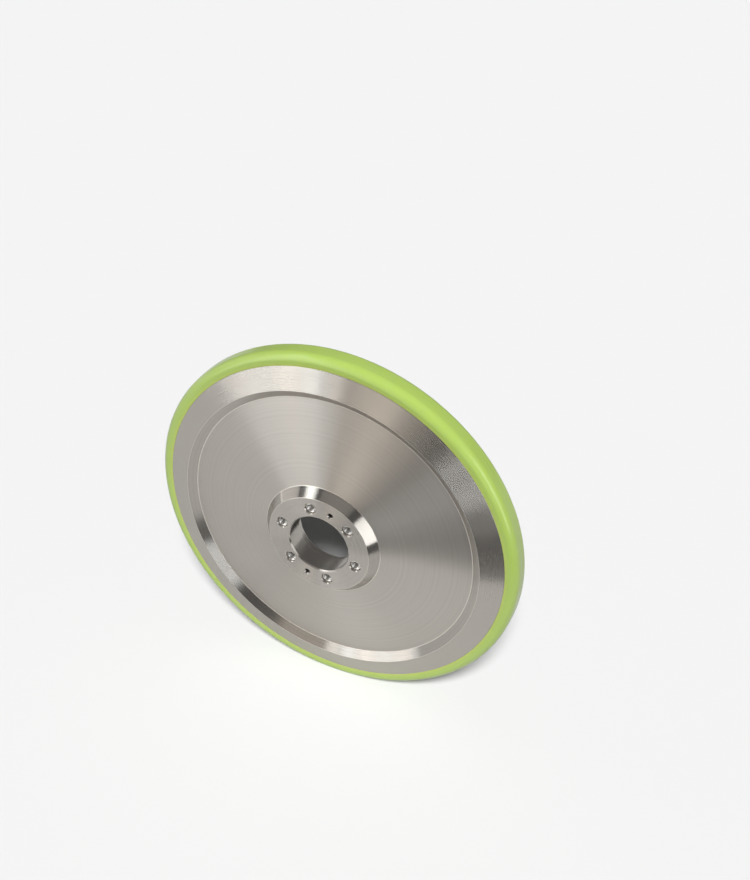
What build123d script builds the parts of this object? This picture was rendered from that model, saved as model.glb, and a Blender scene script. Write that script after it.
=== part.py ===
from build123d import *
import os
from math import radians, tan

# Aluminium pulley with a cast polyurethane tyre, in millimetres.
# The axle lies along Y through the origin and the screw face looks towards -Y.
# The origin is the centre of the wheel: on the axle, half way across the tyre.

# Tyre, bonded round the rim and turned flush with its sides
tyre_diameter = 338.0
tyre_width = 22.0
tyre_thickness = 11.0
tyre_corner_radius = 7.0

# Rim of the aluminium wheel: a sloping face up to a crown, and a step down to the web
rim_face_width = 19.3
crown_height = 6.5
step_width = 7.7
step_depth = 5.0

# Pocket between rim and hub at the back
rim_back_width = 17.0
pocket_wall_draft = 12.0
pocket_corner_radius = 7.0

# Web, a shallow cone that stands furthest forward at the hub
web_thickness = 11.0

# Bore, with a land at the front that fits a spigot and a relief behind it
bore_diameter = 55.0
bore_mouth_chamfer = 1.0
bore_land_length = 16.0
relief_depth = 2.0

# Hub, measured outwards from the bore: to the hole centres, then to its outer edges
hole_circle_gap = 8.5
hub_face_margin = 10.9
hub_face_reach = 34.0
hub_bevel_width = 6.8
hub_bevel_height = 8.0
back_boss_margin = 20.0
back_boss_height = 4.0
back_boss_taper = 3.0
back_boss_root_radius = 6.0

# Lathe tool radii, on outer edges and in inner corners
turned_edge_radius = 0.4
turned_corner_radius = 1.2

# Screw holes in the hub face, each lined with a wound thread insert
screw_hole_count = 6
first_screw_hole_angle = 41.0
screw_drill_diameter = 8.3
insert_thread_depth = 0.65
insert_wall = 1.475
insert_length = 16.0
insert_setback = 1.0
insert_tap_runout = 2.0
screw_countersink_width = 0.65

# Jacking holes, half way between two screw holes on each side of the bore
jacking_hole_count = 2
jacking_drill_diameter = 4.2
jacking_countersink_width = 0.85

# Radii and places that follow from the sizes above
tyre_radius = tyre_diameter / 2
rim_radius = tyre_radius - tyre_thickness
crown_radius = rim_radius - rim_face_width
step_foot_radius = crown_radius - step_width
bore_radius = bore_diameter / 2
hole_circle_radius = bore_radius + hole_circle_gap
hub_face_radius = hole_circle_radius + hub_face_margin
web_foot_radius = hub_face_radius + hub_bevel_width
half_width = tyre_width / 2
crown_y = -half_width - crown_height
step_foot_y = crown_y + step_depth
hub_face_y = -hub_face_reach
web_foot_y = hub_face_y + hub_bevel_height
insert_outside_diameter = screw_drill_diameter + 2 * insert_thread_depth
insert_bore_diameter = insert_outside_diameter - 2 * insert_wall
screw_hole_pitch = 360 / screw_hole_count
first_jacking_hole_angle = first_screw_hole_angle + screw_hole_pitch / 2
from_front = (Align.CENTER, Align.CENTER, Align.MIN)


def web_front_y(radius):
    """Where the coned front of the web lies along the axle, at a radius."""
    share = (radius - web_foot_radius) / (step_foot_radius - web_foot_radius)
    return web_foot_y + (step_foot_y - web_foot_y) * share


def web_back_y(radius):
    """The back of the web, parallel to its front."""
    return web_front_y(radius) + web_thickness


def turned(corners):
    """Turn a closed outline of (radius, y, corner radius) points about the axle."""
    points = [(radius, y) for radius, y, rounding in corners]
    roundings = [rounding for radius, y, rounding in corners]
    outline = FilletPolyline(*points, radius=roundings, close=True)
    return revolve(make_face(outline), axis=Axis.Y)


def along_axle(tool, mouth_y):
    """Lay a tool that was made along Z on the axle, from mouth_y towards the back."""
    return Pos(0, mouth_y, 0) * Rot(-90, 0, 0) * tool


def drilling(diameter, depth, mouth_y):
    """A straight hole into the hub face."""
    return along_axle(Cylinder(diameter / 2, depth, align=from_front), mouth_y)


def countersink(hole_diameter, width):
    """A right-angled countersink in the hub face, that much wider than its hole all round."""
    cone = Cone(hole_diameter / 2 + width, hole_diameter / 2, width, align=from_front)
    return along_axle(cone, hub_face_y)


def on_hole_circle(shape, angle):
    """Carry a shape from the axle to the hole circle, at an angle from +X towards +Z."""
    return Rot(0, -angle, 0) * Pos(hole_circle_radius, 0, 0) * shape


def round_hole_circle(shape, count, first_angle):
    """Copies of a shape, evenly spaced round the hole circle."""
    return [on_hole_circle(shape, first_angle + 360 / count * number) for number in range(count)]


def hub_back_y():
    """Where the back face of the hub lies: the boss stands up from the web round it."""
    boss_foot_radius = hole_circle_radius + back_boss_margin + back_boss_taper
    return web_back_y(boss_foot_radius) + back_boss_height


def wheel_blank():
    """The turned wheel before drilling: hub with relieved bore, coned web, and crowned rim."""
    pocket_mouth_radius = rim_radius - rim_back_width
    pocket_depth = half_width - web_back_y(pocket_mouth_radius)
    pocket_floor_radius = pocket_mouth_radius - pocket_depth * tan(radians(pocket_wall_draft))
    boss_radius = hole_circle_radius + back_boss_margin
    boss_foot_radius = boss_radius + back_boss_taper
    relief_radius = bore_radius + relief_depth
    land_start_y = hub_face_y + bore_mouth_chamfer
    land_end_y = land_start_y + bore_land_length
    return turned([
        (bore_radius + bore_mouth_chamfer, hub_face_y, 0),
        (hub_face_radius, hub_face_y, turned_edge_radius),
        (web_foot_radius, web_foot_y, turned_corner_radius),
        (step_foot_radius, step_foot_y, turned_corner_radius),
        (crown_radius, crown_y, turned_edge_radius),
        (rim_radius, -half_width, 0),
        (rim_radius, half_width, 0),
        (pocket_mouth_radius, half_width, turned_edge_radius),
        (pocket_floor_radius, web_back_y(pocket_floor_radius), pocket_corner_radius),
        (boss_foot_radius, web_back_y(boss_foot_radius), back_boss_root_radius),
        (boss_radius, hub_back_y(), turned_edge_radius),
        (relief_radius, hub_back_y(), turned_edge_radius),
        (relief_radius, land_end_y, 0),
        (bore_radius, land_end_y, 0),
        (bore_radius, land_start_y, 0),
    ])


def screw_hole():
    """Countersunk hole, bored and tapped for its insert and drilled on through the hub."""
    hub_length = hub_back_y() - hub_face_y
    tapped_depth = insert_setback + insert_length + insert_tap_runout
    tapped = drilling(insert_outside_diameter, tapped_depth, hub_face_y)
    through = drilling(screw_drill_diameter, hub_length, hub_face_y)
    return tapped + through + countersink(insert_outside_diameter, screw_countersink_width)


def jacking_hole():
    """Countersunk hole, drilled for its own thread through the hub."""
    hub_length = hub_back_y() - hub_face_y
    through = drilling(jacking_drill_diameter, hub_length, hub_face_y)
    return through + countersink(jacking_drill_diameter, jacking_countersink_width)


def wheel_body():
    """The aluminium wheel, one turned piece with its drilled hub."""
    screw_holes = round_hole_circle(screw_hole(), screw_hole_count, first_screw_hole_angle)
    jacking_holes = round_hole_circle(jacking_hole(), jacking_hole_count, first_jacking_hole_angle)
    return wheel_blank() - screw_holes - jacking_holes


def tyre():
    """The polyurethane tyre: a flat tread between two rounded corners."""
    return turned([
        (rim_radius, -half_width, 0),
        (tyre_radius, -half_width, tyre_corner_radius),
        (tyre_radius, half_width, tyre_corner_radius),
        (rim_radius, half_width, 0),
    ])


def thread_inserts():
    """The wound thread inserts, drawn as plain sleeves, one in each screw hole."""
    sleeve_y = hub_face_y + insert_setback
    wire = drilling(insert_outside_diameter, insert_length, sleeve_y)
    sleeve = wire - drilling(insert_bore_diameter, insert_length, sleeve_y)
    return Compound(round_hole_circle(sleeve, screw_hole_count, first_screw_hole_angle))


os.makedirs("parts", exist_ok=True)
export_step(wheel_body(), "parts/wheel_body.step")
export_step(tyre(), "parts/tyre.step")
export_step(thread_inserts(), "parts/thread_inserts.step")
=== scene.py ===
"""Tyred pulley: a turned aluminium wheel with a cast polyurethane tyre, dressed for close views.

The axle lies along Y through the origin, the screw face looks towards -Y, and every length is in metres.
Angles round the axle run from +X towards +Z.
"""

from math import cos, pi, radians, sin, tan
from typing import Callable, NamedTuple

import bmesh
import bpy
import numpy as np
from bpy.props import FloatProperty, FloatVectorProperty, IntProperty, PointerProperty
from bpy.types import Operator, Panel, PropertyGroup
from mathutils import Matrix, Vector


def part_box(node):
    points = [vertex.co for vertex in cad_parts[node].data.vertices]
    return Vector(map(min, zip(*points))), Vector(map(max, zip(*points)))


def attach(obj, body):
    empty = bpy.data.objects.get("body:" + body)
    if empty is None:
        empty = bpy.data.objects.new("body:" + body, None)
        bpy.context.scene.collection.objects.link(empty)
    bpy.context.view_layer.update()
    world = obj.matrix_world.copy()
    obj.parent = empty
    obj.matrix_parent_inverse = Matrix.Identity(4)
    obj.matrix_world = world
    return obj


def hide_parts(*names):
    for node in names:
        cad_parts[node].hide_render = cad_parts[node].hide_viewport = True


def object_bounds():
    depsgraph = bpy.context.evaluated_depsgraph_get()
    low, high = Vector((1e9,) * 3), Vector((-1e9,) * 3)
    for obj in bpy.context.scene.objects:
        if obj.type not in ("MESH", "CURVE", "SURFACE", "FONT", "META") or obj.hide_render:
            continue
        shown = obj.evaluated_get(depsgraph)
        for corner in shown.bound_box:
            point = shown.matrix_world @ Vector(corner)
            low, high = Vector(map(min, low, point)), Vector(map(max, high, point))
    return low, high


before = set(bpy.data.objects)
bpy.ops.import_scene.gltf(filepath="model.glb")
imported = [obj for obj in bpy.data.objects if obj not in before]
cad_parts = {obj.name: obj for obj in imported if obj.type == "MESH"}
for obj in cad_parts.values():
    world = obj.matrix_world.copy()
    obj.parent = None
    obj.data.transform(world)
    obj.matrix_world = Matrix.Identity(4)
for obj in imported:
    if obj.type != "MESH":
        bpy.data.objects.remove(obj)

bl_info = {
    "name": "Tyred Pulley",
    "version": (1, 0, 0),
    "blender": (4, 5, 0),
    "location": "3D View > Sidebar > Pulley",
    "description": "Builds a turned aluminium pulley with a cast polyurethane tyre",
    "category": "Add Mesh",
}

# Boxes of the plain solids
WHEEL_LOW, WHEEL_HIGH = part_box("wheel_body")
TYRE_LOW, TYRE_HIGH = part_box("tyre")
INSERT_LOW, INSERT_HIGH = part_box("thread_inserts")
CAD_LOW, CAD_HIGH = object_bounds()

# Turned surfaces have a point at every whole degree, and the hub's flat rings are made in sectors
ANGLE_STEPS = 360
SECTOR_ANGLE = 30
SECTOR_COUNT = 360 // SECTOR_ANGLE
SECTOR_STEPS = ANGLE_STEPS // SECTOR_COUNT
RING_STEPS = 8
HOLED_RING_STEPS = 5

# Steps of the smaller forms
FILLET_STEPS = 6
TYRE_FILLET_STEPS = 14
TAPPED_ROWS = 5
DRILLED_ROWS = 3
THREAD_ROWS_PER_PITCH = 8
WIRE_STEPS_PER_TURN = 40
WIRE_SIDES = 16

# Points this close to an edge hold its shading, and straight runs are cut into steps of this length at most
EDGE_SUPPORT = 0.00025
LONGEST_STEP = 0.012

# The flat rings stop this short of the hub's rounded edges
RING_MARGIN = 0.0012

# Length of the shoulder where a tapped hole narrows to its drilling
SHOULDER_LENGTH = 0.00002

# Points closer than the first are joined, edges shorter than the second are taken out, and edges bent more
# than the third are sharp
MERGE_DISTANCE = 2e-6
SHORTEST_EDGE = 1e-7
SHARP_ANGLE = radians(28)

# The least length that a vector is divided by
TINY = 1e-12

# The turning map runs up by this much per metre
CHART_PER_METRE = 10

# Where the map of each surface starts, in metres, so that no two show the same tool marks
OUTSIDE_CHART = 0.0
FACE_CHART = 0.5
BORE_CHART = 1.0
BACK_CHART = 1.5

# Jacking holes on opposite sides of the bore, and how much steeper their thread is than a plain zigzag
JACKING_COUNT = 2
THREAD_STEEPNESS = 1.25

# Wire of the inserts: share of the pitch that it fills, power that draws its round section in to a rounded
# diamond, its girth on the map, how many times faster than a turn its tips swell, and the turn in radians
# from one insert's start to the next one's
WIRE_FILL = 0.96
WIRE_POWER = 1.5
WIRE_GIRTH = 0.003
WIRE_TIP_RATE = 12
INSERT_TURN = 1.3

# Rings in turned metal: share of the broad bands in their tone, and their darkest and lightest tone
BAND_SHARE = 0.6
DARK_RING = 0.86
LIGHT_RING = 1.12

# How much the rings and the smears of handling change the roughness of turned metal
RING_POLISH = 0.05
SMEAR_POLISH = 0.03

# Specks on turned metal: how strong they are and how dark
SPECK_SHARE = 0.25
SPECK_TONE = 0.5

# Height of the tool marks on metal and on polyurethane
METAL_MARK_HEIGHT = 0.00002
TYRE_MARK_HEIGHT = 0.00003

# Insert wire: how strong and how dark its stains are, its roughness, and what stains add to it
STAIN_SHARE = 0.5
STAIN_TONE = 0.72
WIRE_ROUGHNESS = 0.3
STAIN_ROUGHNESS = 0.08

# Tyre: how strong and how dark its clouds are, its roughness, and what rings and smears add to it
CLOUD_SHARE = 0.35
CLOUD_TONE = 0.86
TYRE_ROUGHNESS = 0.24
TYRE_RING_ROUGHNESS = 0.1
TYRE_SMEAR_ROUGHNESS = 0.05

# The warmer colour by the bond, painted light of the bright rim shining through the tyre, reaches through
# this share of the tyre's thickness, this strongly
GLOW_REACH = 0.35
GLOW_SHARE = 0.6

# Floor: how strong and how dark the fibre of its paper is
FIBRE_SHARE = 0.2
FIBRE_TONE = 0.985

# How far the lamps hang from the wheel, and how many points the floor has each way
LAMP_DISTANCE = 1.8
FLOOR_POINTS = 9

# Nearest and furthest things that the camera sees, and the long side of its picture in millimetres
CAMERA_NEAR = 0.01
CAMERA_FAR = 100.0
LONG_SIDE = 36.0


def length(name, description, default):
    """A length in metres that a user may change."""
    return FloatProperty(
        name=name, description=description, default=default, min=0.0, unit="LENGTH", precision=5
    )


def angle(name, description, degrees):
    """An angle that a user may change."""
    return FloatProperty(name=name, description=description, default=radians(degrees), subtype="ANGLE")


def colour(name, description, default):
    """A surface colour that a user may change."""
    return FloatVectorProperty(
        name=name, description=description, default=default, min=0.0, max=1.0, size=3, subtype="COLOR"
    )


class WheelSizes(PropertyGroup):
    """Section of the turned wheel."""

    rim_radius: length("Rim Radius", "Outside of the rim, where the tyre is bonded", WHEEL_HIGH[0])
    rim_face_width: length("Rim Face Width", "Slope from the rim's edge in to the crown", 0.0193)
    crown_height: length("Crown Height", "How far the crown stands in front of the tyre's side", 0.0065)
    step_width: length("Step Width", "Slope from the crown down to the web", 0.0077)
    step_depth: length("Step Depth", "How far the web lies behind the crown", 0.005)
    rim_back_width: length("Rim Back Width", "Flat ring at the back of the rim", 0.017)
    pocket_wall_draft: angle("Pocket Wall Draft", "Slant of the pocket's outer wall", 12.0)
    pocket_corner_radius: length("Pocket Corner Radius", "Rounding at the pocket's outer corner", 0.007)
    web_thickness: length("Web Thickness", "Thickness of the coned web, along the axle", 0.011)
    bore_radius: length("Bore Radius", "Land that fits the spigot of the shaft flange", 0.0275)
    bore_mouth_chamfer: length("Bore Mouth Chamfer", "Chamfer where the bore meets the hub face", 0.001)
    bore_land_length: length("Bore Land Length", "Length of the land behind its chamfer", 0.016)
    relief_depth: length("Relief Depth", "How much wider the bore is behind its land", 0.002)
    hub_face_radius: length("Hub Face Radius", "Outside of the flat ring with the holes", 0.0469)
    hub_bevel_width: length("Hub Bevel Width", "Slope from the hub face out to the web", 0.0068)
    hub_bevel_height: length("Hub Bevel Height", "How far the hub face stands in front of the web", 0.008)
    back_boss_radius: length("Back Boss Radius", "Outside of the hub at the back", 0.056)
    back_boss_height: length("Back Boss Height", "How far the hub stands out of the web at the back", 0.004)
    back_boss_taper: length("Back Boss Taper", "How much wider the boss is at its foot", 0.003)
    back_boss_root_radius: length("Back Boss Root Radius", "Rounding where the boss meets the web", 0.006)
    edge_radius: length("Edge Radius", "Rounding that the lathe tool leaves on outer edges", 0.0004)
    corner_radius: length("Corner Radius", "Rounding that the lathe tool leaves in inner corners", 0.0012)


class HoleSizes(PropertyGroup):
    """Holes in the hub and the wound inserts in them."""

    circle_radius: length("Hole Circle Radius", "From the axle to the hole centres", 0.036)
    first_screw_angle: angle("First Screw Hole", "Angle of the first screw hole, in whole degrees", 41.0)
    screw_count: IntProperty(
        name="Screw Holes", description="Evenly spaced holes: 1, 2, 3, 4 or 6", default=6, min=1, max=6
    )
    countersink_radius: length("Countersink Radius", "Mouth of each screw hole", 0.00545)
    tapped_radius: length("Tapped Radius", "Screw hole where the insert sits", 0.0048)
    tapped_depth: length("Tapped Depth", "Depth that is tapped for the insert", 0.019)
    drill_radius: length("Drill Radius", "Screw hole behind its insert", 0.00415)
    wire_inner_radius: length("Wire Inner Radius", "Free bore of the wound insert", 0.003325)
    wire_pitch: length("Wire Pitch", "Distance from turn to turn", 0.00125)
    jacking_radius: length("Jacking Hole Radius", "Crest of the thread in a jacking hole", 0.0021)
    jacking_mouth_radius: length("Jacking Mouth Radius", "Mouth of a jacking hole", 0.00295)
    jacking_pitch: length("Jacking Thread Pitch", "Pitch of the thread in a jacking hole", 0.0008)
    jacking_thread_depth: length("Jacking Thread Depth", "How deep the thread is cut", 0.00043)
    jacking_tapped_length: length("Jacking Tapped Length", "How far in the thread runs", 0.012)


class TyreSizes(PropertyGroup):
    """Section of the tyre."""

    corner_radius: length("Corner Radius", "Rounding between tread and side", 0.007)
    bond_chamfer: length("Bond Chamfer", "Fine chamfer where tyre and rim were turned flush", 0.00015)


class Finish(PropertyGroup):
    """Colours of the surfaces and of the room."""

    aluminium: colour("Aluminium", "Bare turned aluminium", (0.50, 0.47, 0.43))
    polyurethane: colour("Polyurethane", "Body of the cast tyre", (0.41, 0.56, 0.125))
    # Painted light: the colour that the bright rim's light, shining through the tyre, is painted as
    bond_painted_rim_light: colour("Bond Glow", "Tyre next to the bright rim", (0.50, 0.58, 0.11))
    steel: colour("Insert Steel", "Bright drawn wire", (0.78, 0.76, 0.73))
    floor: colour("Floor", "Pale studio floor", (0.82, 0.82, 0.82))
    floor_reflected: colour("Floor Reflected", "The floor as the part mirrors it", (0.69, 0.69, 0.69))
    floor_bounced: colour("Floor Bounced", "The floor as it lights the part from below", (0.42, 0.42, 0.42))
    room: colour("Room", "The room as the part mirrors it", (0.16, 0.16, 0.16))
    room_shade: colour("Room Shade", "The room as it lights the shade", (0.06, 0.06, 0.06))
    backdrop: colour("Backdrop", "The room as the camera sees it", (0.9, 0.9, 0.9))


class StageSettings(PropertyGroup):
    """Camera, floor and key light."""

    camera_azimuth: angle("Camera Azimuth", "Turn from looking straight at the face", 26.02)
    camera_elevation: angle("Camera Elevation", "Angle of the view above the horizon", 35.62)
    camera_place: FloatVectorProperty(
        name="Camera Place",
        description="Where the camera stands",
        default=(0.4383, -0.8237, 0.7538),
        subtype="TRANSLATION",
        unit="LENGTH",
    )
    camera_lens: FloatProperty(
        name="Camera Lens",
        description="Focal length for a 36 mm long side",
        default=57.27,
        min=1.0,
        unit="CAMERA",
    )
    floor_reach: length("Floor Reach", "How far the floor goes to the sides and behind", 12.0)
    floor_front: length("Floor Front", "How far the floor comes towards the camera", 0.27)
    key_azimuth: angle("Key Azimuth", "Where the softbox hangs, from straight in front", 26.0)
    key_elevation: angle("Key Elevation", "Height of the softbox above the horizon", 49.0)
    key_strength: FloatProperty(
        name="Key Strength", description="Light of the softbox", default=4.35, min=0.0
    )
    key_softness: angle("Key Softness", "How wide the softbox looks from the wheel", 12.0)


class TurnedFinish(NamedTuple):
    """How a zone of the wheel came off the lathe, with light or shade painted into its tone.

    The tone is a factor on the plain metal's colour, and the widths are in millimetres. A tone other than 1
    is
    painted light or shade: a painted highlight on the rounded edges, a little painted light on the web, and
    painted shade on the slopes and deep in the holes.
    """

    roughness: float
    anisotropy: float
    tone: float = 1.0
    band_width: float = 1.8
    line_width: float = 0.35
    relief: float = 0.1


WHEEL_FINISHES = {
    "turned_aluminium": TurnedFinish(roughness=0.25, anisotropy=1.0, relief=0.04),
    "drilled_aluminium": TurnedFinish(roughness=0.22, anisotropy=0.5, band_width=0.8, line_width=0.2),
    # Rounded edges: painted 1.45 times lighter, a painted highlight in place of the key light's glint
    "edges_painted_highlight": TurnedFinish(roughness=0.32, anisotropy=0.8, tone=1.45),
    # The web: rougher with wider bands, and painted 1.06 times lighter as painted light
    "web_aluminium": TurnedFinish(roughness=0.32, anisotropy=0.95, tone=1.06, band_width=2.2),
    # Slopes of hub and step: polished smoother, and painted 0.86 times darker as painted shade
    "slope_aluminium_painted_shade": TurnedFinish(roughness=0.17, anisotropy=0.9, tone=0.86, relief=0.04),
    # Deep in the holes: near-black metal, 0.16 times the plain tone, painted shade of the deep recess
    "drilling_painted_shade": TurnedFinish(roughness=0.4, anisotropy=0.0, tone=0.16, band_width=0.8, line_width=0.2),
}

# Zones of the wheel, numbered in the order of their finishes
FACES, DRILLED, EDGES, WEB, SLOPES, DEEP_PAINTED_SHADE = range(len(WHEEL_FINISHES))


class Lamp(NamedTuple):
    """A lamp of the room. The angles at which it stands, seen from the wheel, are in degrees."""

    name: str
    azimuth: float
    low: float
    high: float
    width: float
    radiance: float
    tint: tuple


LAMPS = (
    Lamp("wall_front", -10.5, -20.0, 6.0, 14.0, 1.5, (1.0, 0.93, 0.84)),
    Lamp("wall_front_high", -9.0, 6.0, 32.0, 17.0, 0.4, (1.0, 0.92, 0.82)),
    Lamp("window_left_1", -21.0, -8.0, 18.0, 5.0, 2.0, (1.0, 0.98, 0.96)),
    Lamp("window_left_2", -27.3, -10.0, 38.0, 5.3, 2.3, (0.93, 0.98, 1.0)),
    Lamp("window_left_3", -33.8, -12.0, 38.0, 5.3, 2.6, (1.0, 0.96, 0.94)),
    Lamp("window_left_4", -40.3, -14.0, 38.0, 5.3, 2.4, (0.93, 0.98, 1.0)),
    Lamp("window_left_5", -46.8, -12.0, 38.0, 5.3, 2.6, (1.0, 0.96, 0.94)),
    Lamp("window_left_6", -53.3, -8.0, 34.0, 5.3, 2.6, (0.94, 0.98, 1.0)),
    Lamp("wall_left", -84.0, -2.0, 30.0, 30.0, 0.9, (1.0, 0.98, 0.96)),
    Lamp("skylight_left", -56.0, 38.0, 54.0, 16.0, 3.1, (0.93, 0.98, 1.0)),
    Lamp("window_right", 61.0, -14.0, 27.0, 24.0, 2.7, (0.97, 0.99, 1.0)),
    Lamp("strip_right_low", 21.5, -16.0, -5.0, 7.0, 2.3, (0.93, 0.97, 1.0)),
    Lamp("strip_right_high", 17.5, -7.0, 3.0, 7.0, 2.3, (0.93, 0.97, 1.0)),
    Lamp("ceiling", 12.0, 40.0, 64.0, 50.0, 0.3, (1.0, 0.95, 0.9)),
)


# Outlines


def unit(vectors):
    """Vectors of the same directions, one long."""
    return vectors / np.maximum(np.linalg.norm(vectors, axis=1), TINY)[:, None]


def straight_points(begin, finish):
    """Points in a straight run: one close to each end, so that shading bends only there, and even steps."""
    run = finish - begin
    size = np.linalg.norm(run)
    if size <= 3 * EDGE_SUPPORT:
        return np.empty((0, 2))
    inner = size - 2 * EDGE_SUPPORT
    steps = int(np.ceil(inner / LONGEST_STEP))
    along = EDGE_SUPPORT + inner * np.arange(steps + 1) / steps
    return begin + run / size * along[:, None]


def rounded_outline(corners, steps=FILLET_STEPS, closed=False):
    """Points along an outline through (radius, along, rounding) corners, and the rounding of each run.

    A rounded corner is an arc that touches both of its edges. Its centre lies on the line that halves the
    corner, rounding / sin(half angle) away, and it turns in equal steps. A straight run has a rounding of 0.
    """
    place = np.array([corner[:2] for corner in corners], float)
    rounding = np.array([corner[2] for corner in corners], float)
    to_last = unit(np.roll(place, 1, axis=0) - place)
    to_next = unit(np.roll(place, -1, axis=0) - place)
    half = np.arccos(np.clip((to_last * to_next).sum(axis=1), -1, 1)) / 2
    reach = (rounding / np.tan(half))[:, None]
    start = place + to_last * reach
    end = place + to_next * reach
    centre = place + unit(to_last + to_next) * (rounding / np.sin(half))[:, None]
    share = np.linspace(0, 1, steps + 1)[:, None]
    points, curved = [], []
    for i in range(len(corners)):
        if rounding[i] > 0:
            first = start[i] - centre[i]
            last = end[i] - centre[i]
            turn = np.arccos(np.clip(first @ last / rounding[i] ** 2, -1, 1))
            arc = (np.sin((1 - share) * turn) * first + np.sin(share * turn) * last) / np.sin(turn)
            points.append(centre[i] + arc)
            curved.append(np.full(steps, rounding[i]))
        else:
            points.append(place[i : i + 1])
        if closed or i + 1 < len(corners):
            between = straight_points(end[i], start[(i + 1) % len(corners)])
            points.append(between)
            curved.append(np.zeros(len(between) + 1))
    if closed:
        points.append(points[0][:1])
    return np.concatenate(points), np.concatenate(curved)


def running_length(points):
    """Distance along a line of points from its first one."""
    return np.concatenate([[0], np.cumsum(np.linalg.norm(np.diff(points, axis=0), axis=1))])


# Surfaces. Each patch is a grid of points, its map, and its material, for all of it or for each row of faces


def round_axle(radius, turn, y):
    """Points (radius cos turn, y, radius sin turn), for numbers or for arrays that fit together."""
    return np.stack(np.broadcast_arrays(radius * np.cos(turn), y, radius * np.sin(turn)), axis=-1)


def turning_chart(turn, along):
    """Map of a turned surface: the share of a turn across, and the distance along its outline up."""
    return np.stack(np.broadcast_arrays(turn / (2 * pi), along * CHART_PER_METRE), axis=-1)


def turned_patch(outline, chart_start=0.0, material=0):
    """A surface of revolution: the point at turn a and outline point (r, y) is (r cos a, y, r sin a)."""
    turn = np.linspace(0, 2 * pi, ANGLE_STEPS + 1)
    along = chart_start + running_length(outline)[:, None]
    return round_axle(outline[:, :1], turn, outline[:, 1:]), turning_chart(turn, along), material


class FlatRing(NamedTuple):
    """A flat ring of the hub, across the axle."""

    inner: float
    outer: float
    y: float
    chart_start: float


def sector_turns(middle):
    """Even turns across one sector, from edge to edge."""
    half = radians(SECTOR_ANGLE / 2)
    return np.linspace(middle - half, middle + half, SECTOR_STEPS + 1)


def sector_edge(middle, ring):
    """Points round the edge of one sector: along its outer arc, in, back along its inner arc, and out."""
    arc = sector_turns(middle)
    side = np.linspace(ring.outer, ring.inner, RING_STEPS + 1)
    turn = [arc, np.full(RING_STEPS, arc[-1]), arc[::-1][1:], np.full(RING_STEPS, arc[0])]
    radius = [np.full(len(arc), ring.outer), side[1:], np.full(len(arc) - 1, ring.inner), side[::-1][1:]]
    return round_axle(np.concatenate(radius), np.concatenate(turn), ring.y)


def ring_chart(points, ring, middle):
    """Map of a flat ring: the turn across, kept whole round the sector's middle, and the radius up."""
    turn = np.arctan2(points[..., 2], points[..., 0])
    turn = middle + (turn - middle + pi) % (2 * pi) - pi
    radius = np.hypot(points[..., 0], points[..., 2])
    return turning_chart(turn, ring.chart_start + radius - ring.inner)


def plain_sector(middle, ring):
    """A sector of a flat ring without a hole: radius by turn."""
    radius = np.linspace(ring.inner, ring.outer, RING_STEPS + 1)[:, None]
    points = round_axle(radius, sector_turns(middle), ring.y)
    return points, ring_chart(points, ring, middle), FACES


def holed_sector(middle, ring, circle, hole_radius):
    """A sector of a flat ring round a hole: straight lines from the hole's edge to the sector's edge.

    Each line starts at the angle, seen from the hole's centre, at which its outer end lies. The angles are
    given with the patch.
    """
    edge = sector_edge(middle, ring)
    centre = round_axle(circle, middle, ring.y)
    angles = np.unwrap(np.arctan2(edge[:, 2] - centre[2], edge[:, 0] - centre[0]))
    mouth = centre + round_axle(hole_radius, angles, 0)
    share = np.linspace(0, 1, HOLED_RING_STEPS + 1)[:, None, None]
    points = mouth * (1 - share) + edge * share
    return (points, ring_chart(points, ring, middle), FACES), angles


class Hole(NamedTuple):
    """A hole through the hub: the radii of its ends, the depths of its rows of points, and its wall.

    The wall's radius is a function of depth and angle. Down to a depth the wall is plain drilled metal, and
    past it the wall is painted near-black as painted shade of the deep hole.
    """

    mouth_radius: float
    far_radius: float
    depth: np.ndarray
    radius: Callable
    painted_shade_depth: float


def screw_hole(holes, hub_length):
    """A screw hole: countersink, tapped length for its insert, and the narrower drilling behind it."""
    cone_depth = holes.countersink_radius - holes.tapped_radius
    tapped = np.linspace(cone_depth, holes.tapped_depth, TAPPED_ROWS)
    drilled = np.linspace(holes.tapped_depth + SHOULDER_LENGTH, hub_length, DRILLED_ROWS)

    def radius(depth, angles):
        """The countersink narrows by its depth down to the tapped radius."""
        cone = np.maximum(holes.countersink_radius - depth, holes.tapped_radius)
        return np.where(depth > holes.tapped_depth, holes.drill_radius, cone)

    depth = np.concatenate([[0], tapped, drilled])
    # Behind the tapped length the drilling is painted dark as shade
    return Hole(holes.countersink_radius, holes.drill_radius, depth, radius, holes.tapped_depth)


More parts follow.
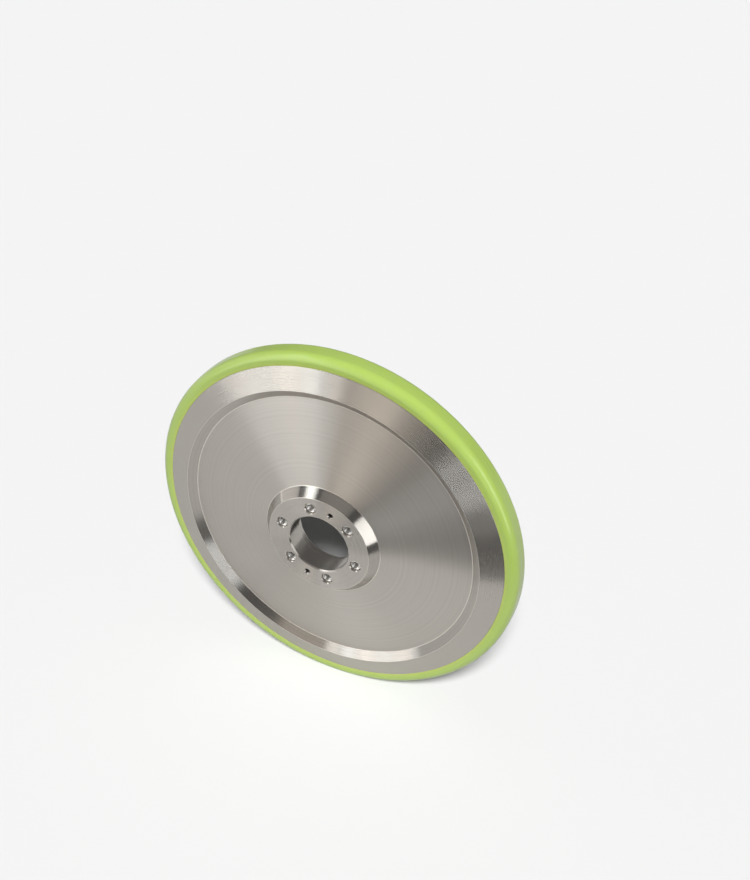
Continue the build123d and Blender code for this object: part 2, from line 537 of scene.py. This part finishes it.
def jacking_hole(holes, hub_length):
    """A jacking hole: countersink, a cut thread that fades at both ends, and plain drilling behind it."""
    cone_depth = holes.jacking_mouth_radius - holes.jacking_radius
    row = holes.jacking_pitch / THREAD_ROWS_PER_PITCH
    threaded = np.arange(cone_depth, holes.jacking_tapped_length, row)
    drilled = np.linspace(holes.jacking_tapped_length, hub_length, DRILLED_ROWS)

    def radius(depth, angles):
        """The thread is a zigzag of depth / pitch less the share of a turn, cut flat at root and crest."""
        phase = (depth / holes.jacking_pitch - angles / (2 * pi)) % 1.0
        zigzag = np.clip(THREAD_STEEPNESS * (np.abs(2 * phase - 1) - 0.5) + 0.5, 0, 1)
        fade_in = np.clip((depth - cone_depth) / holes.jacking_pitch, 0, 1)
        fade_out = np.clip((holes.jacking_tapped_length - depth) / holes.jacking_pitch, 0, 1)
        thread = holes.jacking_radius + holes.jacking_thread_depth * zigzag * fade_in * fade_out
        return np.where(depth < cone_depth, holes.jacking_mouth_radius - depth, thread)

    depth = np.concatenate([[0], threaded, drilled])
    # Past the countersink the whole thread is painted dark as shade
    return Hole(holes.jacking_mouth_radius, holes.jacking_radius, depth, radius, cone_depth)


def hole_wall(hole, middle, circle, mouth_y, front_angles, back_angles):
    """The wall of a hole: at depth d and angle b it is radius(d, b) from the hole's own axis.

    The angles turn gradually from those of the front ring to those of the back ring, so both edges meet.
    """
    depth = hole.depth[:, None]
    share = depth / depth[-1]
    whole_turns = np.round((front_angles[0] - back_angles[0]) / (2 * pi)) * 2 * pi
    angles = front_angles * (1 - share) + (back_angles + whole_turns) * share
    centre = round_axle(circle, middle, mouth_y + depth)
    points = centre + round_axle(hole.radius(depth, angles), angles, 0)
    # Rows past the painted-shade depth take the near-black metal, painted shade of the deep hole
    return points, turning_chart(angles, depth), np.where(hole.depth[1:] > hole.painted_shade_depth, DEEP_PAINTED_SHADE, DRILLED)


def first_screw_degrees(holes):
    """Angle of the first screw hole in whole degrees, where the turned surfaces have their points."""
    return round(np.degrees(holes.first_screw_angle))


def drilled_hub(holes, face, back):
    """The flat rings at the hub's front and back, sector by sector, and the walls of the holes."""
    if SECTOR_COUNT % holes.screw_count:
        raise ValueError("The hub takes 1, 2, 3, 4 or 6 screw holes")
    screw = screw_hole(holes, back.y - face.y)
    jacking = jacking_hole(holes, back.y - face.y)
    patches = []
    for sector in range(SECTOR_COUNT):
        middle = radians(first_screw_degrees(holes) + sector * SECTOR_ANGLE)
        if sector % (SECTOR_COUNT // holes.screw_count) == 0:
            hole = screw
        elif sector % (SECTOR_COUNT // JACKING_COUNT) == 1:
            hole = jacking
        else:
            patches += [plain_sector(middle, face), plain_sector(middle, back)]
            continue
        front, front_angles = holed_sector(middle, face, holes.circle_radius, hole.mouth_radius)
        rear, back_angles = holed_sector(middle, back, holes.circle_radius, hole.far_radius)
        wall = hole_wall(hole, middle, holes.circle_radius, face.y, front_angles, back_angles)
        patches += [front, rear, wall]
    return patches


def drawn_in(wave):
    """A cosine or sine that keeps its sign and takes a power, which makes a rounded diamond of a circle."""
    return np.sign(wave) * np.abs(wave) ** WIRE_POWER


def wound_wire(holes, number):
    """The wire of one insert: a rounded diamond, swept along a helix round the axis of its hole.

    At share s of the wire it has turned by 2 pi turns s and gone s of the way in, and its tips are pointed.
    """
    half_height = holes.wire_pitch * WIRE_FILL / 2
    half_depth = (holes.tapped_radius - holes.wire_inner_radius) / 2
    start = INSERT_LOW[1] + half_height
    stop = INSERT_HIGH[1] - half_height
    turns = (stop - start) / holes.wire_pitch
    share = np.linspace(0, 1, int(turns * WIRE_STEPS_PER_TURN) + 1)[:, None]
    around = np.linspace(0, 2 * pi, WIRE_SIDES + 1)
    swell = np.clip(np.minimum(share, 1 - share) * turns * WIRE_TIP_RATE, 0, 1)
    turn = 2 * pi * turns * share + INSERT_TURN * number
    radius = holes.tapped_radius - half_depth + half_depth * drawn_in(np.cos(around)) * swell
    y = start + (stop - start) * share + half_height * drawn_in(np.sin(around)) * swell
    middle = radians(first_screw_degrees(holes) + 360 / holes.screw_count * number)
    points = round_axle(holes.circle_radius, middle, 0) + round_axle(radius, turn, y)
    return points, turning_chart(turn, around / (2 * pi) * WIRE_GIRTH), 0


# Meshes


def grid_faces(rows, columns):
    """Four-cornered faces between the rows and columns of a grid of points."""
    i = np.arange((rows - 1) * columns).reshape(rows - 1, columns)[:, :-1]
    return np.stack([i, i + 1, i + columns + 1, i + columns], axis=-1).reshape(-1, 4)


def closed_mesh(name, patches):
    """One mesh of all the patches, joined where their edges meet, with every face looking out."""
    faces, points, charts, slots = [], [], [], []
    first = 0
    for grid, chart, material in patches:
        rows, columns = grid.shape[:2]
        faces.append(grid_faces(rows, columns) + first)
        points.append(grid.reshape(-1, 3))
        charts.append(chart.reshape(-1, 2))
        slots.append(np.broadcast_to(np.reshape(material, (-1, 1)), (rows - 1, columns - 1)).ravel())
        first += rows * columns
    faces, points, charts, slots = map(np.concatenate, (faces, points, charts, slots))
    mesh = bpy.data.meshes.new(name)
    mesh.vertices.add(len(points))
    mesh.vertices.foreach_set("co", points.astype(np.float32).ravel())
    mesh.loops.add(faces.size)
    mesh.loops.foreach_set("vertex_index", faces.astype(np.int32).ravel())
    mesh.polygons.add(len(faces))
    mesh.polygons.foreach_set("loop_start", np.arange(0, faces.size, 4, dtype=np.int32))
    mesh.polygons.foreach_set("material_index", slots.astype(np.int32))
    mesh.update(calc_edges=True)
    corners = charts[faces.ravel()].astype(np.float32)
    mesh.uv_layers.new(name="turning").data.foreach_set("uv", corners.ravel())
    work = bmesh.new()
    work.from_mesh(mesh)
    bmesh.ops.remove_doubles(work, verts=work.verts, dist=MERGE_DISTANCE)
    bmesh.ops.dissolve_degenerate(work, edges=work.edges, dist=SHORTEST_EDGE)
    bmesh.ops.recalc_face_normals(work, faces=work.faces)
    open_edges = sum(1 for edge in work.edges if len(edge.link_faces) != 2)
    work.to_mesh(mesh)
    work.free()
    if open_edges:
        raise RuntimeError(f"{name} has {open_edges} open edges")
    mesh.polygons.foreach_set("use_smooth", np.ones(len(mesh.polygons), dtype=bool))
    mesh.set_sharp_from_angle(angle=SHARP_ANGLE)
    mesh.update()
    return mesh


def place_piece(name, mesh, materials, node):
    """Put a finished mesh into the scene, riding on the part's body in place of its plain solid."""
    piece = bpy.data.objects.new(name, mesh)
    bpy.context.scene.collection.objects.link(piece)
    for material in materials:
        mesh.materials.append(material)
    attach(piece, "root")
    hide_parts(node)


# Shader nodes


def new_group(name, inputs, outputs):
    """An empty shader node group with named sockets."""
    group = bpy.data.node_groups.new(name, "ShaderNodeTree")
    for kind, sockets in (("INPUT", inputs), ("OUTPUT", outputs)):
        for label, socket_type, default in sockets:
            socket = group.interface.new_socket(name=label, in_out=kind, socket_type=socket_type)
            if default is not None:
                socket.default_value = default
    source = group.nodes.new("NodeGroupInput")
    target = group.nodes.new("NodeGroupOutput")
    return group, source, target


def fill_socket(tree, socket, value):
    """Give a socket its value: a number, a colour, or another node's output."""
    if isinstance(value, (int, float)):
        socket.default_value = value
    elif isinstance(value, tuple):
        socket.default_value = (*value, 1.0)
    else:
        tree.links.new(value, socket)


def math_node(tree, operation, *values):
    """A Math node whose inputs are numbers or other nodes' outputs."""
    node = tree.nodes.new("ShaderNodeMath")
    node.operation = operation
    for socket, value in zip(node.inputs, values):
        fill_socket(tree, socket, value)
    return node.outputs[0]


def noise_node(tree, dimensions, scale, detail, roughness, vector=None, w=None):
    """A Noise Texture, of a line or of space."""
    node = tree.nodes.new("ShaderNodeTexNoise")
    node.noise_dimensions = dimensions
    node.inputs["Scale"].default_value = scale
    node.inputs["Detail"].default_value = detail
    node.inputs["Roughness"].default_value = roughness
    if vector is not None:
        tree.links.new(vector, node.inputs["Vector"])
    if w is not None:
        tree.links.new(w, node.inputs["W"])
    return node.outputs["Fac"]


def mixed_colour(tree, factor, first, second):
    """A Mix node for colours: numbers, triples or other nodes' outputs."""
    node = tree.nodes.new("ShaderNodeMix")
    node.data_type = "RGBA"
    colour_inputs = [socket for socket in node.inputs if socket.type == "RGBA"]
    for socket, value in zip((node.inputs[0], *colour_inputs), (factor, first, second)):
        fill_socket(tree, socket, value)
    return next(socket for socket in node.outputs if socket.type == "RGBA")


def shade(base, factor):
    """A colour made darker or lighter by a factor."""
    return tuple(min(1.0, factor * channel) for channel in base)


def ramp_node(tree, value, low, high):
    """A smooth step of a value from 0 at low to 1 at high."""
    node = tree.nodes.new("ShaderNodeMapRange")
    node.interpolation_type = "SMOOTHSTEP"
    node.inputs["From Min"].default_value = low
    node.inputs["From Max"].default_value = high
    tree.links.new(value, node.inputs["Value"])
    return node.outputs["Result"]


def turning_lines_group():
    """Rings that a lathe leaves: broad bands and feed lines, from noise of the distance across them."""
    group, source, target = new_group(
        "turning_lines",
        [
            ("Distance", "NodeSocketFloat", 0.0),
            ("Band Width", "NodeSocketFloat", 2.2),
            ("Line Width", "NodeSocketFloat", 0.35),
        ],
        [("Bands", "NodeSocketFloat", None), ("Lines", "NodeSocketFloat", None)],
    )
    for label, width, detail, roughness in (
        ("Bands", "Band Width", 2.0, 0.6),
        ("Lines", "Line Width", 1.0, 0.5),
    ):
        across = math_node(group, "DIVIDE", source.outputs["Distance"], source.outputs[width])
        rings = noise_node(group, "1D", 1.0, detail, roughness, w=across)
        group.links.new(rings, target.inputs[label])
    return group


def handling_marks_group():
    """Faint marks of handling in space: soft cloudy smears and sparse fine specks."""
    group, source, target = new_group(
        "handling_marks",
        [("Vector", "NodeSocketVector", None), ("Amount", "NodeSocketFloat", 1.0)],
        [("Smears", "NodeSocketFloat", None), ("Specks", "NodeSocketFloat", None)],
    )
    for label, scale, detail, roughness, low, high in (
        ("Smears", 22.0, 3.0, 0.55, 0.4, 0.75),
        ("Specks", 900.0, 1.0, 0.5, 0.72, 0.8),
    ):
        cloud = noise_node(group, "3D", scale, detail, roughness, vector=source.outputs["Vector"])
        mark = math_node(group, "MULTIPLY", ramp_node(group, cloud, low, high), source.outputs["Amount"])
        group.links.new(mark, target.inputs[label])
    return group


def shared_group(name, maker):
    """A node group, made the first time it is asked for."""
    return bpy.data.node_groups.get(name) or maker()


def group_node(tree, group, **values):
    """A node group placed in a material, with its own numbers or linked inputs."""
    node = tree.nodes.new("ShaderNodeGroup")
    node.node_tree = group
    for label, value in values.items():
        fill_socket(tree, node.inputs[label.replace("_", " ").title()], value)
    return node


def turning_lines(tree, band_width, line_width):
    """The lathe's rings on a surface, along its turning map. Gives their bands and lines."""
    chart = tree.nodes.new("ShaderNodeUVMap")
    chart.uv_map = "turning"
    split = tree.nodes.new("ShaderNodeSeparateXYZ")
    tree.links.new(chart.outputs["UV"], split.inputs["Vector"])
    distance = math_node(tree, "MULTIPLY", split.outputs["Y"], 1000 / CHART_PER_METRE)
    group = shared_group("turning_lines", turning_lines_group)
    return group_node(tree, group, distance=distance, band_width=band_width, line_width=line_width).outputs


def handling_marks(tree, place):
    """The marks of handling at a place. Gives their smears and specks."""
    return group_node(tree, shared_group("handling_marks", handling_marks_group), vector=place).outputs


def object_place(tree):
    """The place on the object."""
    return tree.nodes.new("ShaderNodeTexCoord").outputs["Object"]


def bump(tree, shader, height, strength, distance):
    """Feed a height, in units of distance, to a shader's normal."""
    node = tree.nodes.new("ShaderNodeBump")
    node.inputs["Strength"].default_value = strength
    node.inputs["Distance"].default_value = distance
    tree.links.new(height, node.inputs["Height"])
    tree.links.new(node.outputs["Normal"], shader.inputs["Normal"])


# Materials


def new_material(name):
    """A material with an empty node tree but for its Principled shader."""
    material = bpy.data.materials.new(name)
    material.use_nodes = True
    return material, material.node_tree, material.node_tree.nodes["Principled BSDF"]


def bare_metal(name, anisotropy):
    """A metal whose highlights are drawn out across its rings, a quarter turn from the way its map runs."""
    material, tree, shader = new_material(name)
    shader.inputs["Metallic"].default_value = 1.0
    shader.inputs["Anisotropic"].default_value = anisotropy
    shader.inputs["Anisotropic Rotation"].default_value = 0.25
    tangent = tree.nodes.new("ShaderNodeTangent")
    tangent.direction_type = "UV_MAP"
    tangent.uv_map = "turning"
    tree.links.new(tangent.outputs["Tangent"], shader.inputs["Tangent"])
    return material, tree, shader


def turned_metal(name, aluminium, finish):
    """Bare metal off the lathe: rings in tone, polish and height, smears in polish, dark specks, and the
    finish's painted light or shade in its tone.
    """
    material, tree, shader = bare_metal(name, finish.anisotropy)
    # The finish's tone paints light or shade into the base colour
    base = shade(aluminium, finish.tone)
    rings = turning_lines(tree, finish.band_width, finish.line_width)
    marks = handling_marks(tree, object_place(tree))
    lines = math_node(tree, "MULTIPLY", rings["Lines"], 1 - BAND_SHARE)
    tone = math_node(tree, "MULTIPLY_ADD", rings["Bands"], BAND_SHARE, lines)
    ringed = mixed_colour(tree, tone, shade(base, DARK_RING), shade(base, LIGHT_RING))
    specks = math_node(tree, "MULTIPLY", marks["Specks"], SPECK_SHARE)
    face = mixed_colour(tree, specks, ringed, shade(base, SPECK_TONE))
    tree.links.new(face, shader.inputs["Base Color"])
    polish = math_node(tree, "MULTIPLY_ADD", tone, RING_POLISH, finish.roughness - RING_POLISH / 2)
    polish = math_node(tree, "MULTIPLY_ADD", marks["Smears"], SMEAR_POLISH, polish)
    tree.links.new(polish, shader.inputs["Roughness"])
    bump(tree, shader, tone, finish.relief, METAL_MARK_HEIGHT)
    return material


def insert_wire_material(steel):
    """Bright drawn steel wire with a little staining, its highlights drawn out across the turns."""
    material, tree, shader = bare_metal("insert_wire_steel", anisotropy=0.5)
    place = object_place(tree)
    smears = handling_marks(tree, place)["Smears"]
    stain = math_node(tree, "MULTIPLY", smears, STAIN_SHARE)
    face = mixed_colour(tree, stain, tuple(steel), shade(steel, STAIN_TONE))
    tree.links.new(face, shader.inputs["Base Color"])
    rough = math_node(tree, "MULTIPLY_ADD", smears, STAIN_ROUGHNESS, WIRE_ROUGHNESS)
    tree.links.new(rough, shader.inputs["Roughness"])
    fine = noise_node(tree, "3D", scale=2500.0, detail=1.0, roughness=0.5, vector=place)
    bump(tree, shader, fine, strength=0.15, distance=METAL_MARK_HEIGHT)
    return material


def distance_from_axle(tree, place):
    """Square root of X squared and Z squared."""
    split = tree.nodes.new("ShaderNodeSeparateXYZ")
    tree.links.new(place, split.inputs["Vector"])
    across = math_node(tree, "POWER", split.outputs["X"], 2.0)
    up = math_node(tree, "POWER", split.outputs["Z"], 2.0)
    return math_node(tree, "SQRT", math_node(tree, "ADD", across, up))


def polyurethane_material(body, painted_rim_glow, rim_radius, tyre_radius):
    """Cast polyurethane: translucent, satin off the lathe, with painted light of the bright rim near the
    bond.
    """
    material, tree, shader = new_material("cast_polyurethane")
    for label, value in (
        ("Subsurface Weight", 0.55),
        ("Subsurface Radius", (1.0, 1.0, 0.25)),
        ("Subsurface Scale", 0.004),
        ("IOR", 1.5),
        ("Coat Weight", 0.35),
        ("Coat Roughness", 0.12),
        ("Coat IOR", 1.5),
    ):
        shader.inputs[label].default_value = value
    place = object_place(tree)
    # Painted light: the base turns warmer towards the rim, in place of the rim's light shining through the
    # tyre
    glow_end = rim_radius + GLOW_REACH * (tyre_radius - rim_radius)
    past_glow = ramp_node(tree, distance_from_axle(tree, place), rim_radius, glow_end)
    glowing = math_node(tree, "MULTIPLY", math_node(tree, "SUBTRACT", 1.0, past_glow), GLOW_SHARE)
    cloud = noise_node(tree, "3D", scale=9.0, detail=2.0, roughness=0.5, vector=place)
    cloudy = math_node(tree, "MULTIPLY", cloud, CLOUD_SHARE)
    face = mixed_colour(tree, cloudy, tuple(body), shade(body, CLOUD_TONE))
    tree.links.new(mixed_colour(tree, glowing, face, tuple(painted_rim_glow)), shader.inputs["Base Color"])
    rings = turning_lines(tree, band_width=1.6, line_width=0.3)
    smears = handling_marks(tree, place)["Smears"]
    rough = math_node(tree, "MULTIPLY_ADD", rings["Bands"], TYRE_RING_ROUGHNESS, TYRE_ROUGHNESS)
    rough = math_node(tree, "MULTIPLY_ADD", smears, TYRE_SMEAR_ROUGHNESS, rough)
    tree.links.new(rough, shader.inputs["Roughness"])
    bump(tree, shader, rings["Lines"], strength=0.12, distance=TYRE_MARK_HEIGHT)
    return material


def by_ray(tree, seen, mirrored, bounced):
    """One colour for the camera, one for what the part mirrors, and one for the light that it takes."""
    path = tree.nodes.new("ShaderNodeLightPath").outputs
    unseen = mixed_colour(tree, path["Is Diffuse Ray"], mirrored, bounced)
    return mixed_colour(tree, path["Is Camera Ray"], unseen, seen)


def floor_material(base, mirrored, bounced):
    """Matt pale paper with a barely visible fibre, darker where the part mirrors it or takes its light."""
    material, tree, shader = new_material("studio_floor")
    fibre = noise_node(tree, "3D", scale=60.0, detail=3.0, roughness=0.6, vector=object_place(tree))
    fibrous = math_node(tree, "MULTIPLY", fibre, FIBRE_SHARE)
    paper = mixed_colour(tree, fibrous, tuple(base), shade(base, FIBRE_TONE))
    face = by_ray(tree, paper, tuple(mirrored), tuple(bounced))
    tree.links.new(face, shader.inputs["Base Color"])
    shader.inputs["Roughness"].default_value = 0.95
    shader.inputs["Specular IOR Level"].default_value = 0.0
    return material


# Pieces


def web_foot_radius(wheel):
    """Where the hub's bevel meets the web."""
    return wheel.hub_face_radius + wheel.hub_bevel_width


def crown_radius(wheel):
    """Where the slope of the rim meets its step."""
    return wheel.rim_radius - wheel.rim_face_width


def step_foot_radius(wheel):
    """Where the step of the rim meets the web."""
    return crown_radius(wheel) - wheel.step_width


def wheel_outlines(wheel, bond, half_width):
    """The two open lines of the wheel's section, each with the rounding of its runs.

    The first goes round the outside from hub face to hub back, and the second forward through the bore.
    """
    hub_face_y = WHEEL_LOW[1]
    web_foot = web_foot_radius(wheel)
    web_foot_y = hub_face_y + wheel.hub_bevel_height
    crown_y = -half_width - wheel.crown_height
    step_foot = step_foot_radius(wheel)
    step_foot_y = crown_y + wheel.step_depth

    def web_back_y(radius):
        """The back of the coned web, parallel to its front."""
        share = (radius - web_foot) / (step_foot - web_foot)
        return web_foot_y + (step_foot_y - web_foot_y) * share + wheel.web_thickness

    mouth = wheel.rim_radius - wheel.rim_back_width
    floor_radius = mouth - (half_width - web_back_y(mouth)) * tan(wheel.pocket_wall_draft)
    boss_foot = wheel.back_boss_radius + wheel.back_boss_taper
    hub_back_y = web_back_y(boss_foot) + wheel.back_boss_height
    relief = wheel.bore_radius + wheel.relief_depth
    land_y = hub_face_y + wheel.bore_mouth_chamfer
    land_end_y = land_y + wheel.bore_land_length
    outside = rounded_outline([
        (wheel.hub_face_radius - RING_MARGIN, hub_face_y, 0),
        (wheel.hub_face_radius, hub_face_y, wheel.edge_radius),
        (web_foot, web_foot_y, wheel.corner_radius),
        (step_foot, step_foot_y, wheel.corner_radius),
        (crown_radius(wheel), crown_y, wheel.edge_radius),
        (wheel.rim_radius - bond, -half_width, 0),
        (wheel.rim_radius, -half_width + bond, 0),
        (wheel.rim_radius, half_width - bond, 0),
        (wheel.rim_radius - bond, half_width, 0),
        (mouth, half_width, wheel.edge_radius),
        (floor_radius, web_back_y(floor_radius), wheel.pocket_corner_radius),
        (boss_foot, web_back_y(boss_foot), wheel.back_boss_root_radius),
        (wheel.back_boss_radius, hub_back_y, wheel.edge_radius),
        (wheel.back_boss_radius - RING_MARGIN, hub_back_y, 0),
    ])
    inside = rounded_outline([
        (relief + RING_MARGIN, hub_back_y, 0),
        (relief, hub_back_y, wheel.edge_radius),
        (relief, land_end_y, 0),
        (wheel.bore_radius, land_end_y, 0),
        (wheel.bore_radius, land_y, 0),
        (wheel.bore_radius + wheel.bore_mouth_chamfer, hub_face_y, 0),
    ])
    return outside, inside


def outside_zones(wheel, outline, rounding):
    """The finish of each run of the outside: rounded edges, web, slopes of hub and step, or plain faces."""
    radius = (outline[1:, 0] + outline[:-1, 0]) / 2
    front = np.arange(len(radius)) < radius.argmax()
    edge = (rounding > 0) & (rounding <= wheel.corner_radius)
    web = front & (radius > web_foot_radius(wheel)) & (radius < step_foot_radius(wheel))
    slope = front & (radius > wheel.hub_face_radius) & (radius < crown_radius(wheel))
    return np.select([edge, web, slope], [EDGES, WEB, SLOPES], FACES)


class PULLEY_OT_wheel(Operator):
    """Build the turned aluminium wheel with its drilled and tapped hub"""

    bl_idname = "pulley.wheel"
    bl_label = "Turned Wheel"

    def execute(self, context):
        scene = context.scene
        wheel = scene.pulley_wheel
        outlines = wheel_outlines(wheel, scene.pulley_tyre.bond_chamfer, TYRE_HIGH[1])
        (outside, outside_rounding), (inside, inside_rounding) = outlines
        face = FlatRing(inside[-1][0], outside[0][0], outside[0][1], FACE_CHART)
        back = FlatRing(inside[0][0], outside[-1][0], outside[-1][1], BACK_CHART)
        patches = [
            turned_patch(outside, OUTSIDE_CHART, outside_zones(wheel, outside, outside_rounding)),
            turned_patch(inside, BORE_CHART, np.where(inside_rounding > 0, EDGES, FACES)),
            *drilled_hub(scene.pulley_holes, face, back),
        ]
        mesh = closed_mesh("turned_wheel", patches)
        aluminium = scene.pulley_finish.aluminium
        metals = [turned_metal(name, aluminium, finish) for name, finish in WHEEL_FINISHES.items()]
        place_piece("turned_wheel", mesh, metals, "wheel_body")
        return {"FINISHED"}


class PULLEY_OT_tyre(Operator):
    """Build the cast polyurethane tyre"""

    bl_idname = "pulley.tyre"
    bl_label = "Cast Tyre"

    def execute(self, context):
        scene = context.scene
        tyre = scene.pulley_tyre
        finish = scene.pulley_finish
        inner = scene.pulley_wheel.rim_radius
        outer = TYRE_HIGH[0]
        half_width = TYRE_HIGH[1]
        corners = [
            (inner, -half_width + tyre.bond_chamfer, 0),
            (inner + tyre.bond_chamfer, -half_width, 0),
            (outer, -half_width, tyre.corner_radius),
            (outer, half_width, tyre.corner_radius),
            (inner + tyre.bond_chamfer, half_width, 0),
            (inner, half_width - tyre.bond_chamfer, 0),
        ]
        outline = rounded_outline(corners, steps=TYRE_FILLET_STEPS, closed=True)[0]
        mesh = closed_mesh("cast_tyre", [turned_patch(outline)])
        body = polyurethane_material(finish.polyurethane, finish.bond_painted_rim_light, inner, outer)
        place_piece("cast_tyre", mesh, [body], "tyre")
        return {"FINISHED"}


class PULLEY_OT_inserts(Operator):
    """Wind the thread inserts of the screw holes"""

    bl_idname = "pulley.inserts"
    bl_label = "Wound Inserts"

    def execute(self, context):
        scene = context.scene
        holes = scene.pulley_holes
        wires = [wound_wire(holes, number) for number in range(holes.screw_count)]
        mesh = closed_mesh("wound_inserts", wires)
        steel = insert_wire_material(scene.pulley_finish.steel)
        place_piece("wound_inserts", mesh, [steel], "thread_inserts")
        return {"FINISHED"}


# Stage


def direction(azimuth, elevation):
    """Unit vector into the room: azimuth from straight in front towards +X, elevation from the horizon."""
    return Vector((sin(azimuth) * cos(elevation), -cos(azimuth) * cos(elevation), sin(elevation)))


def pale_floor(reach, front, azimuth):
    """A flat sheet under the wheel with its front edge square to an azimuth a.

    Across by u and forward by w it is (u cos a + w sin a, u sin a - w cos a).
    """
    u, w = np.meshgrid(np.linspace(-reach, reach, FLOOR_POINTS), np.linspace(front, -reach, FLOOR_POINTS))
    x = u * cos(azimuth) + w * sin(azimuth)
    y = u * sin(azimuth) - w * cos(azimuth)
    ground = np.stack([x, y, np.full(u.shape, CAD_LOW[2])], axis=-1)
    mesh = bpy.data.meshes.new("floor")
    mesh.from_pydata(ground.reshape(-1, 3).tolist(), [], grid_faces(FLOOR_POINTS, FLOOR_POINTS).tolist())
    mesh.update()
    return mesh


def lay_floor(scene):
    """Lay the pale floor, which is part of the stage and not of the pulley."""
    stage = scene.pulley_stage
    finish = scene.pulley_finish
    mesh = pale_floor(stage.floor_reach, stage.floor_front, stage.camera_azimuth)
    mesh.materials.append(floor_material(finish.floor, finish.floor_reflected, finish.floor_bounced))
    floor = bpy.data.objects.new("floor", mesh)
    scene.collection.objects.link(floor)


def hang_key_light(scene):
    """Hang the softbox that lights everything and shows in no reflection."""
    stage = scene.pulley_stage
    sun = bpy.data.lights.new("key_softbox", "SUN")
    sun.energy = stage.key_strength
    sun.angle = stage.key_softness
    key = bpy.data.objects.new("key_softbox", sun)
    key.rotation_mode = "QUATERNION"
    key.rotation_quaternion = direction(stage.key_azimuth, stage.key_elevation).to_track_quat("Z", "Y")
    key.visible_glossy = False
    scene.collection.objects.link(key)


def hang_lamp(scene, lamp):
    """Hang a rectangular lamp that faces the wheel, fills its angles and shows only in reflections."""
    spread = (lamp.width, lamp.high - lamp.low)
    across, up = (2 * LAMP_DISTANCE * tan(radians(degrees / 2)) for degrees in spread)
    data = bpy.data.lights.new(lamp.name, "AREA")
    data.shape = "RECTANGLE"
    data.size = across
    data.size_y = up
    data.energy = lamp.radiance * pi * across * up
    data.color = lamp.tint
    place = direction(radians(lamp.azimuth), radians((lamp.low + lamp.high) / 2)) * LAMP_DISTANCE
    holder = bpy.data.objects.new(lamp.name, data)
    holder.location = place
    holder.rotation_euler = (-place).to_track_quat("-Z", "Y").to_euler()
    holder.visible_camera = False
    holder.visible_diffuse = False
    scene.collection.objects.link(holder)


def studio_world(finish):
    """A room that is pale to the camera, dim in reflections and dimmer still where it lights the shade."""
    world = bpy.data.worlds.new("studio")
    world.use_nodes = True
    tree = world.node_tree
    seen = by_ray(tree, tuple(finish.backdrop), tuple(finish.room), tuple(finish.room_shade))
    tree.links.new(seen, tree.nodes["Background"].inputs["Color"])
    return world


def set_camera(scene):
    """Stand the camera where the picture is taken from."""
    stage = scene.pulley_stage
    data = bpy.data.cameras.new("camera")
    data.sensor_width = LONG_SIDE
    data.lens = stage.camera_lens
    data.clip_start = CAMERA_NEAR
    data.clip_end = CAMERA_FAR
    camera = bpy.data.objects.new("camera", data)
    camera.location = stage.camera_place
    camera.rotation_mode = "QUATERNION"
    view = direction(stage.camera_azimuth, stage.camera_elevation)
    camera.rotation_quaternion = view.to_track_quat("Z", "Y")
    scene.collection.objects.link(camera)
    scene.camera = camera


class PULLEY_OT_stage(Operator):
    """Lay the pale floor, hang the soft lamps and set the camera"""

    bl_idname = "pulley.stage"
    bl_label = "Stage"

    def execute(self, context):
        scene = context.scene
        lay_floor(scene)
        hang_key_light(scene)
        for lamp in LAMPS:
            hang_lamp(scene, lamp)
        scene.world = studio_world(scene.pulley_finish)
        scene.view_settings.view_transform = "Standard"
        set_camera(scene)
        return {"FINISHED"}


class PULLEY_PT_panel(Panel):
    """Buttons that build the pulley, piece by piece"""

    bl_idname = "PULLEY_PT_panel"
    bl_label = "Tyred Pulley"
    bl_space_type = "VIEW_3D"
    bl_region_type = "UI"
    bl_category = "Pulley"

    def draw(self, context):
        for operator in OPERATORS:
            self.layout.operator(operator.bl_idname)
        for name, group in GROUPS.items():
            box = self.layout.box()
            for key in group.__annotations__:
                box.prop(getattr(context.scene, name), key)


OPERATORS = (PULLEY_OT_wheel, PULLEY_OT_tyre, PULLEY_OT_inserts, PULLEY_OT_stage)
GROUPS = {
    "pulley_wheel": WheelSizes,
    "pulley_holes": HoleSizes,
    "pulley_tyre": TyreSizes,
    "pulley_finish": Finish,
    "pulley_stage": StageSettings,
}


def register():
    """Add the sizes, operators and panel to Blender."""
    for name, group in GROUPS.items():
        bpy.utils.register_class(group)
        setattr(bpy.types.Scene, name, PointerProperty(type=group))
    for cls in (*OPERATORS, PULLEY_PT_panel):
        bpy.utils.register_class(cls)


def unregister():
    """Take them out again."""
    for cls in (PULLEY_PT_panel, *reversed(OPERATORS)):
        bpy.utils.unregister_class(cls)
    for name, group in reversed(GROUPS.items()):
        delattr(bpy.types.Scene, name)
        bpy.utils.unregister_class(group)


def main():
    """Build everything in order."""
    register()
    bpy.ops.pulley.wheel()
    bpy.ops.pulley.tyre()
    bpy.ops.pulley.inserts()
    bpy.ops.pulley.stage()


if __name__ == "__main__":
    main()
